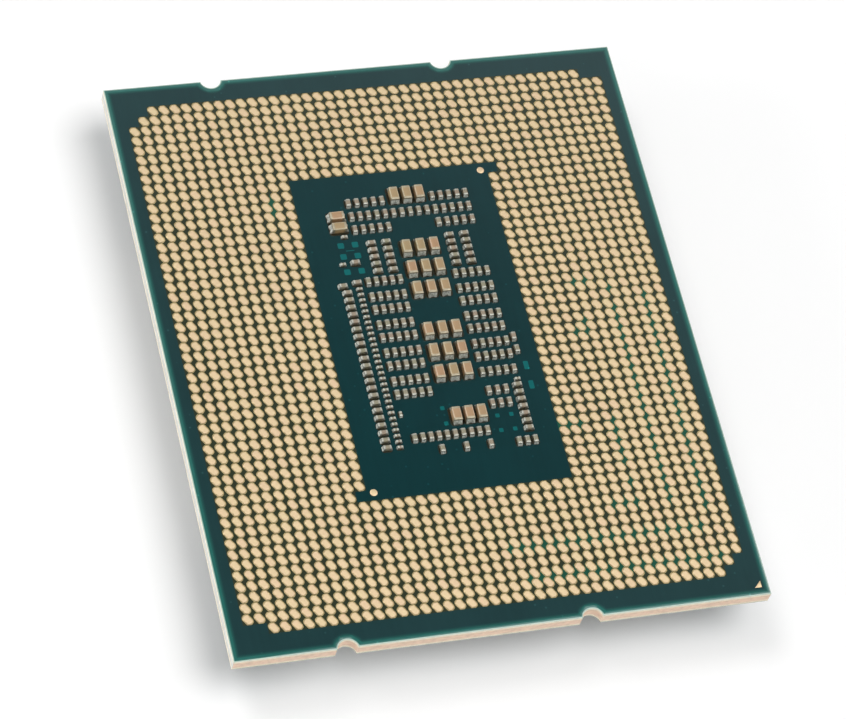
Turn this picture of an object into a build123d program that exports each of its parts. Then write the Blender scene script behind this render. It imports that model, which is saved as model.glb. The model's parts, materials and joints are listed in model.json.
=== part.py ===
from build123d import *
from collections import namedtuple
import os

# Desktop processor in a land grid package, lying lid down with its contacts up.
# Millimetres. +Z up, origin on the lid's contact face, below the middle of the package.
# X runs across the package, Y along it.
os.makedirs("parts", exist_ok=True)

# ------------------------------------------------------------------ contact lands
LAND_PITCH = 0.8
LAND_COLUMNS = 44
LAND_ROWS = 52
LAND_CORNER_GAP = 0.03        # from a land's far corners to the edge of its own site
LAND_SHORT_REACH = 0.27       # from the middle to the near corners, in X and in Y
LAND_CROWN = 0.03
WINDOW_FIRST_COLUMN = 13      # columns and rows are counted from the upper left corner
WINDOW_COLUMNS = 18
WINDOW_FIRST_ROW = 9
WINDOW_ROWS = 32
LAST_COLUMN = LAND_COLUMNS - 1
LAST_ROW = LAND_ROWS - 1
WINDOW_END_COLUMN = WINDOW_FIRST_COLUMN + WINDOW_COLUMNS
WINDOW_END_ROW = WINDOW_FIRST_ROW + WINDOW_ROWS
# Grid sites with no land: one beside each fiducial pad, with the way from it into the
# window, and the package's corners.
FIDUCIAL_SITES = {
    (WINDOW_END_COLUMN, WINDOW_FIRST_ROW): -1,
    (WINDOW_FIRST_COLUMN - 1, WINDOW_END_ROW - 1): 1,
}
LANDLESS_SITES = {
    (0, 0), (1, 0), (0, 1),
    (LAST_COLUMN - 1, 0), (LAST_COLUMN, 0),
    (0, LAST_ROW), (1, LAST_ROW),
    (LAST_COLUMN - 1, LAST_ROW), (LAST_COLUMN, LAST_ROW), (LAST_COLUMN, LAST_ROW - 1),
}

FIDUCIAL_DIAMETER = 0.58
FIDUCIAL_OFFSET = (0.865, 0.185)   # from the empty site into the window
FIDUCIAL_SIDES = 12
MARKER_LEG = 0.5              # legs of the right triangle at contact one
MARKER_INSET = 0.55           # its square corner, from both edges of the package
PAD_HEIGHT = 0.02             # plated marks, above the mask

# ------------------------------------------------------------------ package outline
SIDE_MARGIN = 1.15            # board beyond the outermost sites, across and along
END_MARGIN = 1.7
PACKAGE_WIDTH = LAND_COLUMNS * LAND_PITCH + 2 * SIDE_MARGIN
PACKAGE_LENGTH = LAND_ROWS * LAND_PITCH + 2 * END_MARGIN

# Key notches, cut into both short edges. The cutter's centre stands outside the edge.
NOTCH_RADIUS = 0.75
NOTCH_CENTRE_OUTSIDE = 0.15
NOTCH_CENTRES_X = (-11.0, 6.0)

# ------------------------------------------------------------------ laminate layers
CORE_THICKNESS = 0.62
BUILDUP_THICKNESS = 0.20
COPPER_THICKNESS = 0.02
MASK_OVER_COPPER = 0.03
COPPER_PULLBACK = 0.27        # bare laminate between the copper and every cut edge
NOTCH_RELIEF_SIDES = 8        # the copper is etched back round each notch as an octagon

# ------------------------------------------------------------------ lid and what it covers
LID_SIDE_MARGIN = 1.75        # board beyond the lid's side ledges
LID_END_MARGIN = 2.5          # board beyond the lid's end ledges
SIDE_LEDGE_WIDTH = 2.5
SIDE_LEDGE_LENGTH = 24.0
END_LEDGE_WIDTH = 1.5
LEDGE_CORNER_CUT = 0.7
LID_HEIGHT = 3.2              # contact face to foot
LEDGE_DEPTH = 1.25            # contact face to the clamp ledges
LID_CORNER_RADIUS = 1.2
LID_EDGE_BREAK = 0.25
SIDE_FOOT_WIDTH = 2.7         # foot between the cavity and the side of the raised centre
END_FOOT_WIDTH = 4.5          # foot between the cavity and the lid's end
CAVITY_CORNER_CUT = 1.2

SEALANT_THICKNESS = 0.10
SEALANT_INSET = 0.6           # from the side of the raised centre to the bead
SEALANT_END_INSET = 1.4       # from the foot's end to the bead
SEALANT_BEAD = 1.6
SEALANT_CORNER_CUT = 1.4
VENT_GAP = 3.0                # break in the bead that lets the cavity breathe

DIE_WIDTH = 10.5
DIE_LENGTH = 20.5
DIE_THICKNESS = 0.60
BUMP_HEIGHT = 0.07
THERMAL_SOLDER_THICKNESS = 0.25
THERMAL_SOLDER_OVERHANG = 0.4
UNDERFILL_SKIRT = 0.9         # reach of the underfill beside the die, on the mask
UNDERFILL_CLIMB = 0.30        # how far it wets up the die's sides
UNDERFILL_LIP = 0.06

# ------------------------------------------------------------------ decoupling capacitors
# length over the terminals, width, height
LARGE_CHIP = (1.12, 0.60, 0.50)
SMALL_CHIP = (0.62, 0.32, 0.30)
TINY_CHIP = (0.42, 0.21, 0.20)
TERMINAL_LENGTH = 0.22        # of one end cap on a large chip
TERMINAL_WRAP = 0.02          # how far an end cap stands out round the ceramic

SMALL_PITCH = 0.575           # small chips side by side in the blocks
TOP_ROW_PITCH = 0.612         # and in the rows at the top of the window
TOP_ROW_GAP = 1.085           # from row to row there
STACK_PITCH = 0.568           # small chips stacked in the short columns
LEFT_COLUMN_PITCH = 0.587
TINY_PITCH = 0.45
PAIR_GAP = 1.03               # between the two rows of a pair
PAIR_PITCH = 2.257            # from pair to pair

BLOCK_TOP_Y = 3.565           # first paired row of the left and right blocks
RIGHT_BLOCK_END_Y = BLOCK_TOP_Y - 3 * PAIR_PITCH   # last row of the right block

# A bank is a grid of like chips: its upper left chip's centre, columns, rows and pitches.
# The rows of a paired bank stand two by two.
Bank = namedtuple("Bank", "x y columns rows pitch_x pitch_y paired", defaults=(1, 1, 0, 0, False))

LARGE_UPRIGHT = {
    "top": [Bank(-0.03, 11.46, 3, 1, 0.925)],
    "upper_block": [Bank(-0.10, 7.10, 3, 3, 1.0, 1.7)],
    "middle_block": [Bank(-0.10, 0.36, 3, 3, 1.0, 1.7)],
    "bottom": [Bank(0.30, -6.44, 3, 1, 0.9)],
}
LARGE_LYING = {"corner_pair": [Bank(-4.56, 10.19, 1, 2, 0, 0.88)]}
SMALL_UPRIGHT = {
    "top_rows": [
        Bank(-3.40, 11.24, 5, 3, TOP_ROW_PITCH, TOP_ROW_GAP),
        Bank(-0.34, 10.155, 5, 1, TOP_ROW_PITCH),
        Bank(2.72, 11.24, 5, 3, TOP_ROW_PITCH, TOP_ROW_GAP),
    ],
    "left_block": [
        Bank(-3.40, 4.79, 5, 1, SMALL_PITCH),
        Bank(-3.40, BLOCK_TOP_Y, 5, 8, SMALL_PITCH, paired=True),
    ],
    "right_block": [
        Bank(2.92, 4.79, 5, 1, SMALL_PITCH),
        Bank(2.92, BLOCK_TOP_Y, 5, 7, SMALL_PITCH, paired=True),
        Bank(5.80, -0.70, 1, 2, paired=True),
    ],
    "lower_right": [
        Bank(3.05, RIGHT_BLOCK_END_Y - 1.49, 3, 2, TOP_ROW_PITCH, paired=True),
        Bank(4.22, RIGHT_BLOCK_END_Y - 5.64, 3, 1, SMALL_PITCH),
    ],
    "bottom_row": [
        Bank(-2.97, -7.73, 10, 1, SMALL_PITCH),
        Bank(-1.25, -8.78, 3, 1, 3 * SMALL_PITCH),
    ],
}
SMALL_LYING = {
    "upper_left_columns": [Bank(-2.56, 7.90, 2, 5, 1.09, STACK_PITCH)],
    "upper_right_columns": [Bank(3.17, 7.90, 2, 5, 1.09, STACK_PITCH)],
    "left_column": [
        Bank(-5.32, 4.67),
        Bank(-4.27, 4.84),
        Bank(-5.12, 4.10, 1, 22, 0, LEFT_COLUMN_PITCH),
    ],
    "right_column": [Bank(5.10, RIGHT_BLOCK_END_Y - 1.32, 1, 7, 0, STACK_PITCH)],
    "corner_single": [Bank(-4.00, 6.40)],
}
TINY_LYING = {
    "column": [Bank(-4.16, 4.34, 1, 29, 0, TINY_PITCH)],
    "singles": [Bank(-4.28, 8.62), Bank(-4.88, 6.42), Bank(5.25, RIGHT_BLOCK_END_Y - 0.79)],
}
TINY_UPRIGHT = {"lone_upright": [Bank(-3.55, -5.74)]}

# ------------------------------------------------------------------ sizes that follow
LID_WIDTH = PACKAGE_WIDTH - 2 * (LID_SIDE_MARGIN + SIDE_LEDGE_WIDTH)
FOOT_LENGTH = PACKAGE_LENGTH - 2 * LID_END_MARGIN
LID_LENGTH = FOOT_LENGTH - 2 * END_LEDGE_WIDTH
SEALANT_Z = LID_HEIGHT
DIE_SIDE_Z = SEALANT_Z + SEALANT_THICKNESS
MASK_THICKNESS = COPPER_THICKNESS + MASK_OVER_COPPER
DIE_SIDE_BUILDUP_Z = DIE_SIDE_Z + MASK_THICKNESS
CORE_Z = DIE_SIDE_BUILDUP_Z + BUILDUP_THICKNESS
LAND_SIDE_BUILDUP_Z = CORE_Z + CORE_THICKNESS
LAND_SIDE_MASK_Z = LAND_SIDE_BUILDUP_Z + BUILDUP_THICKNESS
LAND_SIDE_Z = LAND_SIDE_MASK_Z + MASK_THICKNESS
DIE_FACE_Z = DIE_SIDE_Z - BUMP_HEIGHT
DIE_BACK_Z = DIE_FACE_Z - DIE_THICKNESS
CAVITY_ROOF_Z = DIE_BACK_Z - THERMAL_SOLDER_THICKNESS


def save(node, shape):
    """Write one named piece, or one group of like pieces, to its STEP file."""
    solids = shape.solids()
    export_step(Compound(solids) if len(solids) > 1 else solids[0], f"parts/{node}.step")


def cut_corner_rectangle(width, length, cut):
    """A rectangle with its four corners cut off at 45 degrees."""
    outline = Rectangle(width, length)
    return chamfer(outline.vertices(), cut)


def slab(outline, bottom, thickness):
    """A flat layer of the given outline, standing on the level bottom."""
    return Pos(0, 0, bottom) * extrude(outline, thickness)


# ------------------------------------------------------------------ laminate
def package_outline(inset):
    """The package's outline drawn in by inset, also around its key notches."""
    outline = Rectangle(PACKAGE_WIDTH - 2 * inset, PACKAGE_LENGTH - 2 * inset)
    notch = Circle(NOTCH_RADIUS)
    if inset:
        half_side_angle = 180 / NOTCH_RELIEF_SIDES
        octagon = RegularPolygon(NOTCH_RADIUS + inset, NOTCH_RELIEF_SIDES, major_radius=False)
        notch = Rot(0, 0, half_side_angle) * octagon
    centre_y = PACKAGE_LENGTH / 2 + NOTCH_CENTRE_OUTSIDE
    for x in NOTCH_CENTRES_X:
        for y in (-centre_y, centre_y):
            outline -= Pos(x, y) * notch
    return outline


def laminate():
    """Core, build-up, copper and solder mask, each layer face to face with the next."""
    cut_edge = package_outline(0)
    copper_edge = package_outline(COPPER_PULLBACK)
    copper_top_z = DIE_SIDE_BUILDUP_Z - COPPER_THICKNESS
    die_side_copper = slab(copper_edge, copper_top_z, COPPER_THICKNESS)
    land_side_copper = slab(copper_edge, LAND_SIDE_MASK_Z, COPPER_THICKNESS)
    save("substrate_core", slab(cut_edge, CORE_Z, CORE_THICKNESS))
    save("die_side_buildup", slab(cut_edge, DIE_SIDE_BUILDUP_Z, BUILDUP_THICKNESS))
    save("land_side_buildup", slab(cut_edge, LAND_SIDE_BUILDUP_Z, BUILDUP_THICKNESS))
    save("die_side_copper_plane", die_side_copper)
    save("land_side_copper_plane", land_side_copper)
    save("die_side_solder_mask", slab(cut_edge, DIE_SIDE_Z, MASK_THICKNESS) - die_side_copper)
    save("land_side_solder_mask", slab(cut_edge, LAND_SIDE_MASK_Z, MASK_THICKNESS) - land_side_copper)


# ------------------------------------------------------------------ lid and die
def heat_spreader():
    """Forged lid: raised centre, clamp ledges at the sides and ends, cavity for the die."""
    centre = extrude(RectangleRounded(LID_WIDTH, LID_LENGTH, LID_CORNER_RADIUS), LID_HEIGHT)
    centre = chamfer(centre.faces().sort_by(Axis.Z)[0].edges(), LID_EDGE_BREAK)
    side_ledges = cut_corner_rectangle(
        LID_WIDTH + 2 * SIDE_LEDGE_WIDTH, SIDE_LEDGE_LENGTH, LEDGE_CORNER_CUT
    )
    end_ledges = cut_corner_rectangle(LID_WIDTH, FOOT_LENGTH, LEDGE_CORNER_CUT)
    cavity = cut_corner_rectangle(
        LID_WIDTH - 2 * SIDE_FOOT_WIDTH, FOOT_LENGTH - 2 * END_FOOT_WIDTH, CAVITY_CORNER_CUT
    )
    lid = centre + slab(side_ledges, LEDGE_DEPTH, LID_HEIGHT - LEDGE_DEPTH)
    lid += slab(end_ledges, LEDGE_DEPTH, LID_HEIGHT - LEDGE_DEPTH)
    lid -= slab(cavity, CAVITY_ROOF_Z, LID_HEIGHT - CAVITY_ROOF_Z)
    save("heat_spreader", lid)


def lid_sealant():
    """Adhesive bead between the lid's foot and the board, open at the vent gap."""
    length = FOOT_LENGTH - 2 * SEALANT_END_INSET
    outside = cut_corner_rectangle(LID_WIDTH - 2 * SEALANT_INSET, length, SEALANT_CORNER_CUT)
    inside = offset(outside, -SEALANT_BEAD, kind=Kind.INTERSECTION)
    vent = Pos(0, length / 2) * Rectangle(VENT_GAP, 3 * SEALANT_BEAD)
    save("lid_sealant", slab(outside - inside - vent, SEALANT_Z, SEALANT_THICKNESS))


def die_stack():
    """Silicon die, the solder that joins its back to the lid, and its underfill."""
    solder_outline = Rectangle(
        DIE_WIDTH + 2 * THERMAL_SOLDER_OVERHANG, DIE_LENGTH + 2 * THERMAL_SOLDER_OVERHANG
    )
    solder = slab(solder_outline, CAVITY_ROOF_Z, THERMAL_SOLDER_THICKNESS)
    die = slab(Rectangle(DIE_WIDTH, DIE_LENGTH), DIE_BACK_Z, DIE_THICKNESS)
    foot = Rectangle(DIE_WIDTH + 2 * UNDERFILL_SKIRT, DIE_LENGTH + 2 * UNDERFILL_SKIRT)
    lip = Rectangle(DIE_WIDTH + 2 * UNDERFILL_LIP, DIE_LENGTH + 2 * UNDERFILL_LIP)
    lip_z = DIE_FACE_Z - UNDERFILL_CLIMB
    underfill = loft([Pos(0, 0, lip_z) * lip, Pos(0, 0, DIE_SIDE_Z) * foot]) - die
    save("thermal_solder", solder)
    save("processor_die", die)
    save("die_underfill", underfill)


# ------------------------------------------------------------------ contacts
def land_place(column, row):
    """Centre of a grid site, counted from the package's upper left corner."""
    x = (column - LAST_COLUMN / 2) * LAND_PITCH
    y = (LAST_ROW / 2 - row) * LAND_PITCH
    return x, y


def contact_lands():
    """Plated lands, drawn out along one diagonal and crowned, in four fields."""
    far, near = LAND_PITCH / 2 - LAND_CORNER_GAP, LAND_SHORT_REACH
    corners = [(-far, far, 0), (near, near, 0), (far, -far, 0), (-near, -near, 0)]
    land = ConvexPolyhedron(corners + [(0, 0, LAND_CROWN)]).solid()
    beside_window = (WINDOW_FIRST_ROW, WINDOW_END_ROW)
    fields = {
        "upper": ((0, LAND_COLUMNS), (0, WINDOW_FIRST_ROW)),
        "left": ((0, WINDOW_FIRST_COLUMN), beside_window),
        "right": ((WINDOW_END_COLUMN, LAND_COLUMNS), beside_window),
        "lower": ((0, LAND_COLUMNS), (WINDOW_END_ROW, LAND_ROWS)),
    }
    landless = LANDLESS_SITES | set(FIDUCIAL_SITES)
    for name, (columns, rows) in fields.items():
        sites = [(column, row) for row in range(*rows) for column in range(*columns)]
        places = [land_place(*site) for site in sites if site not in landless]
        save(f"contact_lands_{name}", Compound(on_mask(land, places)))


def plated_marks():
    """Round fiducial pads in the window, and the triangles at contact one on both sides."""
    pad = RegularPolygon(FIDUCIAL_DIAMETER / 2, FIDUCIAL_SIDES)
    pads = []
    for site, way in FIDUCIAL_SITES.items():
        x, y = land_place(*site)
        pad_place = Pos(x + way * FIDUCIAL_OFFSET[0], y + way * FIDUCIAL_OFFSET[1])
        pads += slab(pad_place * pad, LAND_SIDE_Z, PAD_HEIGHT).solids()
    save("fiducial_pads", Compound(pads))
    x = PACKAGE_WIDTH / 2 - MARKER_INSET
    y = MARKER_INSET - PACKAGE_LENGTH / 2
    triangle = Polygon((x, y), (x, y + MARKER_LEG), (x - MARKER_LEG, y), align=None)
    markers = slab(triangle, LAND_SIDE_Z, PAD_HEIGHT).solids()
    markers += slab(triangle, DIE_SIDE_Z - PAD_HEIGHT, PAD_HEIGHT).solids()
    save("contact_one_marker", Compound(markers))


# ------------------------------------------------------------------ capacitors
def bank_places(banks):
    """Centres of all the chips in the given banks, row by row."""
    places = []
    for bank in banks:
        for row in range(bank.rows):
            drop = row * bank.pitch_y
            if bank.paired:
                drop = (row // 2) * PAIR_PITCH + (row % 2) * PAIR_GAP
            for column in range(bank.columns):
                places.append((bank.x + column * bank.pitch_x, bank.y - drop))
    return places


def on_mask(solid, places):
    """Copies of one small piece, standing on the solder mask at each place."""
    return [solid.moved(Location((x, y, LAND_SIDE_Z))) for x, y in places]


def chip(size, upright):
    """One capacitor as a plain block, its length along Y if upright, along X if lying."""
    length, width, height = size
    block = Pos(0, 0, height / 2) * Box(length, width, height)
    return (Rot(0, 0, 90) * block if upright else block).solid()


def ceramic(upright):
    """The ceramic between a large capacitor's end caps."""
    length, width, height = LARGE_CHIP
    inner = (length - 2 * TERMINAL_LENGTH, width - 2 * TERMINAL_WRAP, height - 2 * TERMINAL_WRAP)
    return Pos(0, 0, TERMINAL_WRAP) * chip(inner, upright)


def end_cap(upright, side):
    """The plated cap on one end of a large capacitor."""
    length, width, height = LARGE_CHIP
    shift = side * (length - TERMINAL_LENGTH) / 2
    place = Pos(0, shift, 0) if upright else Pos(shift, 0, 0)
    return place * chip((TERMINAL_LENGTH, width, height), upright)


def large_capacitors():
    """Ceramic bodies and end caps of the large chips, a pair of nodes to each bank."""
    for banks, upright in ((LARGE_UPRIGHT, True), (LARGE_LYING, False)):
        for name, bank in banks.items():
            places = bank_places(bank)
            caps = on_mask(end_cap(upright, -1), places) + on_mask(end_cap(upright, 1), places)
            save(f"large_capacitors_{name}", Compound(on_mask(ceramic(upright), places)))
            save(f"large_capacitor_end_caps_{name}", Compound(caps))


def small_capacitors():
    """The small and tiny chips, a node to each bank."""
    kinds = (
        ("small", SMALL_CHIP, SMALL_UPRIGHT, True),
        ("small", SMALL_CHIP, SMALL_LYING, False),
        ("tiny", TINY_CHIP, TINY_UPRIGHT, True),
        ("tiny", TINY_CHIP, TINY_LYING, False),
    )
    for kind, size, banks, upright in kinds:
        for name, bank in banks.items():
            chips = on_mask(chip(size, upright), bank_places(bank))
            save(f"{kind}_capacitors_{name}", Compound(chips))


laminate()
heat_spreader()
lid_sealant()
die_stack()
contact_lands()
plated_marks()
large_capacitors()
small_capacitors()
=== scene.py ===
import json
import math
import random

import bmesh
import bpy
from bpy.props import FloatProperty, FloatVectorProperty, PointerProperty
from mathutils import Matrix, Vector

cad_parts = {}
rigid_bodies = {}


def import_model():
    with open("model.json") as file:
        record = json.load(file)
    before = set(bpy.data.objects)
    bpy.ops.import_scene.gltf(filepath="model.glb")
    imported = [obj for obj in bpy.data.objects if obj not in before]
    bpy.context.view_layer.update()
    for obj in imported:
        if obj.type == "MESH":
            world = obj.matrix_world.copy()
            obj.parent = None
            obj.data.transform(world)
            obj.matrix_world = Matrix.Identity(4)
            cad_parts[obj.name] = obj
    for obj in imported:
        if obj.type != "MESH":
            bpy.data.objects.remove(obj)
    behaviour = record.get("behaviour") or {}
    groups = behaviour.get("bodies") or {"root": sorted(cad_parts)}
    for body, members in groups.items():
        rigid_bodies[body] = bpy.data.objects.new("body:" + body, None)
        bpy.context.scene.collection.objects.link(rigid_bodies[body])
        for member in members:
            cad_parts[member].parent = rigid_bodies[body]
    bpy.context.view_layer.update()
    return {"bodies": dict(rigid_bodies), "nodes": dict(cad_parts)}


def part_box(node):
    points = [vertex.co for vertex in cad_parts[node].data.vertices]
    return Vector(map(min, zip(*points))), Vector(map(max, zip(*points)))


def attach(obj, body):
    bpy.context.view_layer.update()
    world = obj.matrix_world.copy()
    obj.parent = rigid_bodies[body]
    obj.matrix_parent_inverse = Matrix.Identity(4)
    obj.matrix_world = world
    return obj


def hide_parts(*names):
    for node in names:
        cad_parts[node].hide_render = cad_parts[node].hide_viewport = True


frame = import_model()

bl_info = {
    "name": "Land grid processor",
    "version": (1, 0, 0),
    "blender": (4, 5, 0),
    "location": "View3D > Sidebar > Processor",
    "description": "Dresses a land grid processor, lying on its lid with the contacts up",
    "category": "Object",
}

MM = 0.001
WELD = 1e-6                   # metres: vertices closer than this are one
LEVEL = 1e-7                  # metres: heights closer than this are the same
LEVEL_DECIMALS = 7            # the same, as decimals of a metre
PLACE_DECIMALS = 6            # decimals of a metre to which solids are put in order
FACE_UP = 0.9                 # a face whose normal rises more than this is a top
FLAT_ANGLE = math.radians(1)
SHARP_ANGLE = math.radians(35)

# ------------------------------------------------------------------ the frame's own pieces
LAND_FIELDS = ("upper", "left", "right", "lower")
LARGE_BANKS = ("top", "corner_pair", "upper_block", "middle_block", "bottom")
SMALL_NODES = sorted(n for n in frame["nodes"] if n.startswith(("small_cap", "tiny_cap")))
BOARD_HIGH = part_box("land_side_buildup")[1]
LAND_PLANE_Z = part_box("land_side_solder_mask")[1].z
COPPER_TOP_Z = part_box("land_side_copper_plane")[1].z
DIE_SIDE_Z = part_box("die_side_solder_mask")[0].z
NOTCH_MIDDLES = (-11 * MM, 6 * MM)
NOTCH_OUTSIDE = 0.15 * MM     # a notch's middle lies this far outside the board's edge
NOTCH_RADIUS = 0.75 * MM
COPPER_ROUNDING = 0.1 * MM    # rounded corners of the copper plane's edge
COPPER_WELD = 0.01 * MM       # the rounded corners' points closer than this are one
SEALANT_ROUNDING = 0.04 * MM  # rounded edges of the squeezed bead

# ------------------------------------------------------------------ the grid of lands
LAND_PITCH = 0.8 * MM
GRID_COLUMNS, GRID_ROWS = 44, 52
MIDDLE_COLUMN, MIDDLE_ROW = (GRID_COLUMNS - 1) / 2, (GRID_ROWS - 1) / 2
CORNER_Y = 16 * MM            # landless sites further out than this are the field's corners
CUT_SLOPE = 1.5               # a land's cut corners reach this much further down than across
WELL_FILM = 0.002 * MM        # resin left over the copper, under a land and in its well
# Width and height of each kind of land, in sizes of the plain outline.
LAND_KINDS = {"wide": (0.95, 1.0), "narrow": (0.89, 1.0), "short": (0.95, 0.95)}
# Columns from the left and rows from the top that hold the short kind.
SHORT_FIELDS = ((range(16, 44), range(15)), (range(31, 36), range(41)))
# Rows that hold the narrow kind, and its columns there: in the upper left by the row's place
# in its group of five, counted in groups of four columns; at the left in even and odd rows.
UPPER_ROWS, LEFT_ROWS, LOWER_ROWS = range(2, 14), range(15, 42), range(42, 50)
UPPER_COLUMNS = range(15)
NARROW_UPPER = ((1, 2, 3), (1, 3), (1, 3), (1, 2, 3), ())
NARROW_LEFT = ((1, 2, 5, 6, 7, 10), (0, 1, 5, 7, 8))
# Runs of grid corners with no copper below: first corner, step and count, in pitches.
CLEARED_RUNS = [
    ((17, 3), (0, -2), 2),
    ((17, 0), (0, -1), 19),
    ((20, 2), (0, -1), 22),
    ((2, -21), (1, 0), 18),
    ((3, -24), (1, 0), 18),
    ((14, 4), (1, 0), 2),
    ((14, 0), (0, -1), 2),
    ((13, -1), (1, 0), 1),
    ((14, -10), (0, -1), 5),
    ((14, -16), (0, -2), 2),
    ((9, -10), (1, 0), 3),
    ((12, -18), (1, 0), 3),
    ((-11, 15), (0, -1), 2),
]
CORNER_SLACK = 0.01           # pitches: vertices closer to a grid corner than this are on it

# ------------------------------------------------------------------ marks on the board
FIDUCIAL_RADIUS = 0.45        # in widths of the CAD pad
FIDUCIAL_SIDES = 32
FIDUCIAL_ROUNDING = 0.6       # in thicknesses of the plating
TRIANGLE_ROUNDING = 0.3       # in thicknesses of the plating
# Places where the copper under the mask is left out: middle, width and length, in mm.
SQUARES = [(x, y, 0.45, 0.45) for x in (-4.68, -3.65) for y in (7.95, 7.05, 5.80)]
OBLONGS = [(6.15, y, 0.35, 0.65) for y in (-3.00, -4.55)]
DOTS = [(-0.53, y, 0.3, 0.3) for y in (-5.62, -6.82)]
DOTS += [(x, y, 0.3, 0.3) for x in (3.17, 4.17) for y in (-6.65, -7.80)]
TRACE = [(-4.10, 7.50, 0.60, 0.05)]
CLEARING_HEIGHT = 0.004 * MM
CLEARING_ROUNDING = 0.4       # of half a mark's shorter side


def linear(text):
    """An sRGB hex colour as the linear red, green, blue and alpha that shaders take."""
    channels = [int(text[i:i + 2], 16) / 255 for i in (1, 3, 5)]
    return [c / 12.92 if c <= 0.04045 else ((c + 0.055) / 1.055) ** 2.4 for c in channels] + [1.0]


def colour(name, description, text):
    """A colour that a user can change."""
    return FloatVectorProperty(
        name=name, description=description, subtype="COLOR", size=4, min=0, max=1,
        default=linear(text),
    )


def size(name, description, millimetres):
    """A length that a user can change."""
    return FloatProperty(
        name=name, description=description, unit="LENGTH", default=millimetres * MM
    )


def turn(name, description, degrees):
    """An angle that a user can change."""
    return FloatProperty(
        name=name, description=description, subtype="ANGLE", default=math.radians(degrees)
    )


# ------------------------------------------------------------------ what a user can change
class ContactSettings(bpy.types.PropertyGroup):
    """Shape and finish of the plated contact lands."""

    half_width: size("Half width", "Middle of a land to its side", 0.345)
    cut_corner: size("Cut corners", "Cut at the two corners on a land's short diagonal", 0.42)
    tip: size("Tips", "Chamfer at the two corners on a land's long diagonal", 0.17)
    round_corner: size("Round corners", "Rounding of all the corners of a land", 0.034)
    well_gap: size("Well gap", "Bare ring between a land and the mask round it", 0.05)
    stand: size("Stand", "Height of a land over the mask", 0.012)
    crown: size("Crown", "Rise of a land's middle over its rim", 0.004)
    edge: size("Edge", "Rounding of the plated rim", 0.025)
    gold: colour("Gold", "Gold plating over nickel", "#C8B391")


class BoardSettings(bpy.types.PropertyGroup):
    """Finish of the laminated board."""

    edge: size("Edge", "Rounding of the routed outline", 0.015)
    mask_sag: size("Mask sag", "How much lower the mask lies where no copper is below it", 0.012)
    mask: colour("Mask", "Solder mask over the copper plane", "#0B3538")
    mask_margin: colour("Margin mask", "Solder mask over the margins' hatched copper", "#203E40")
    mask_between: colour("Mask between lands", "Solder mask in the land field", "#333A2B")
    mask_clear: colour("Clear mask", "Solder mask over bare laminate", "#0C6767")
    mask_edge: colour("Mask at the edge", "Solder mask over bare laminate near the cut", "#2A6A62")
    mask_bare: colour("Mask over gaps", "Solder mask between lands with no copper below", "#1F5341")
    # Painted highlight: the pale colour on the lip of the cut edge.
    lip_highlight: colour("Mask lip", "Thin solder mask on the lip of the cut edge", "#B9D2C4")
    core: colour("Core", "Cut edge of the glass and epoxy core", "#F4D3B8")
    film: colour("Build-up film", "Cut edge of the outer films", "#F2E6D0")


class ChipSettings(bpy.types.PropertyGroup):
    """Shape and finish of the ceramic capacitors."""

    band: size("Band", "Width of the tinned band on a large chip's top", 0.16)
    edge: size("Edge", "Rounding of a large chip's tumbled edges", 0.085)
    rim: size("Rim", "Rounding of a large chip's end faces", 0.03)
    fillet: size("Fillet", "Reach of the solder on the board, on a large chip", 0.14)
    ceramic: colour("Ceramic", "Fired ceramic of the large chips", "#A48761")
    # Painted highlight: the paler tan of the large chips' rounded top edges.
    worn: colour("Worn edge", "Tumbled edges of the large chips", "#BFAD8E")
    small_ceramic: colour("Small ceramic", "Fired ceramic of the small chips", "#8D846F")
    tin: colour("Tin", "Tinned ends of the large chips", "#A39A84")
    small_tin: colour("Small tin", "Tinned ends of the small chips", "#A3A399")
    solder: colour("Solder", "Solder at the small chips", "#D3D7CE")
    dull_solder: colour("Dull solder", "Solder under flux at the large chips", "#C9CAC0")
    # Painted shade: a dark brown film round the chips that darkens the gaps between them.
    flux: colour("Flux", "Dried flux round the chips", "#2A2410")


class LidSettings(bpy.types.PropertyGroup):
    """Finish of the heat spreader."""

    edge: size("Edge", "Rounding of the stamped edges", 0.12)
    nickel: colour("Nickel", "Nickel plating", "#BDB9B0")


class StageSettings(bpy.types.PropertyGroup):
    """Camera, light and floor."""

    lens: FloatProperty(name="Lens", description="Focal length in mm", default=170.19)
    distance: size("Distance", "Camera to the point it looks at", 274.44)
    azimuth: turn("Azimuth", "Camera turned round the vertical", -30.66)
    elevation: turn("Elevation", "Camera above the horizon", 57.47)
    roll: turn("Roll", "Camera turned about its own axis", 20.38)
    floor: colour("Floor", "Pale seamless floor", "#F8F8F8")


GROUPS = {
    "processor_contacts": ContactSettings,
    "processor_board": BoardSettings,
    "processor_chips": ChipSettings,
    "processor_lid": LidSettings,
    "processor_stage": StageSettings,
}


# ------------------------------------------------------------------ materials
MIX_A, MIX_B, MIX_RESULT = 6, 7, 2     # a Mix node's sockets in its colour mode
NOISE_LOW, NOISE_HIGH = 0.32, 0.68     # nearly all of a noise lies between these values
VIA_PITCH = 0.9 * MM
VIA_DOT = (0.05, 0.11)                 # pitches: a via's dot fades between these distances
VIA_SHOWS = 0.7                        # how strongly the dots show through the mask
VIA_TONE = 2.1                         # a dot's brightness, in that of the mask
# Distances from the cut up to which a rim of the mask keeps its tone, and at which it is gone.
CLEAR_RIM = (0.12 * MM, 0.52 * MM)
# The pale lip is a painted highlight along the cut edge.
LIP_HIGHLIGHT = (0.02 * MM, 0.10 * MM)
LONG_SIDE_SKIN = 0.02 * MM                  # the long cut faces lie within this of the edge


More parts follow.
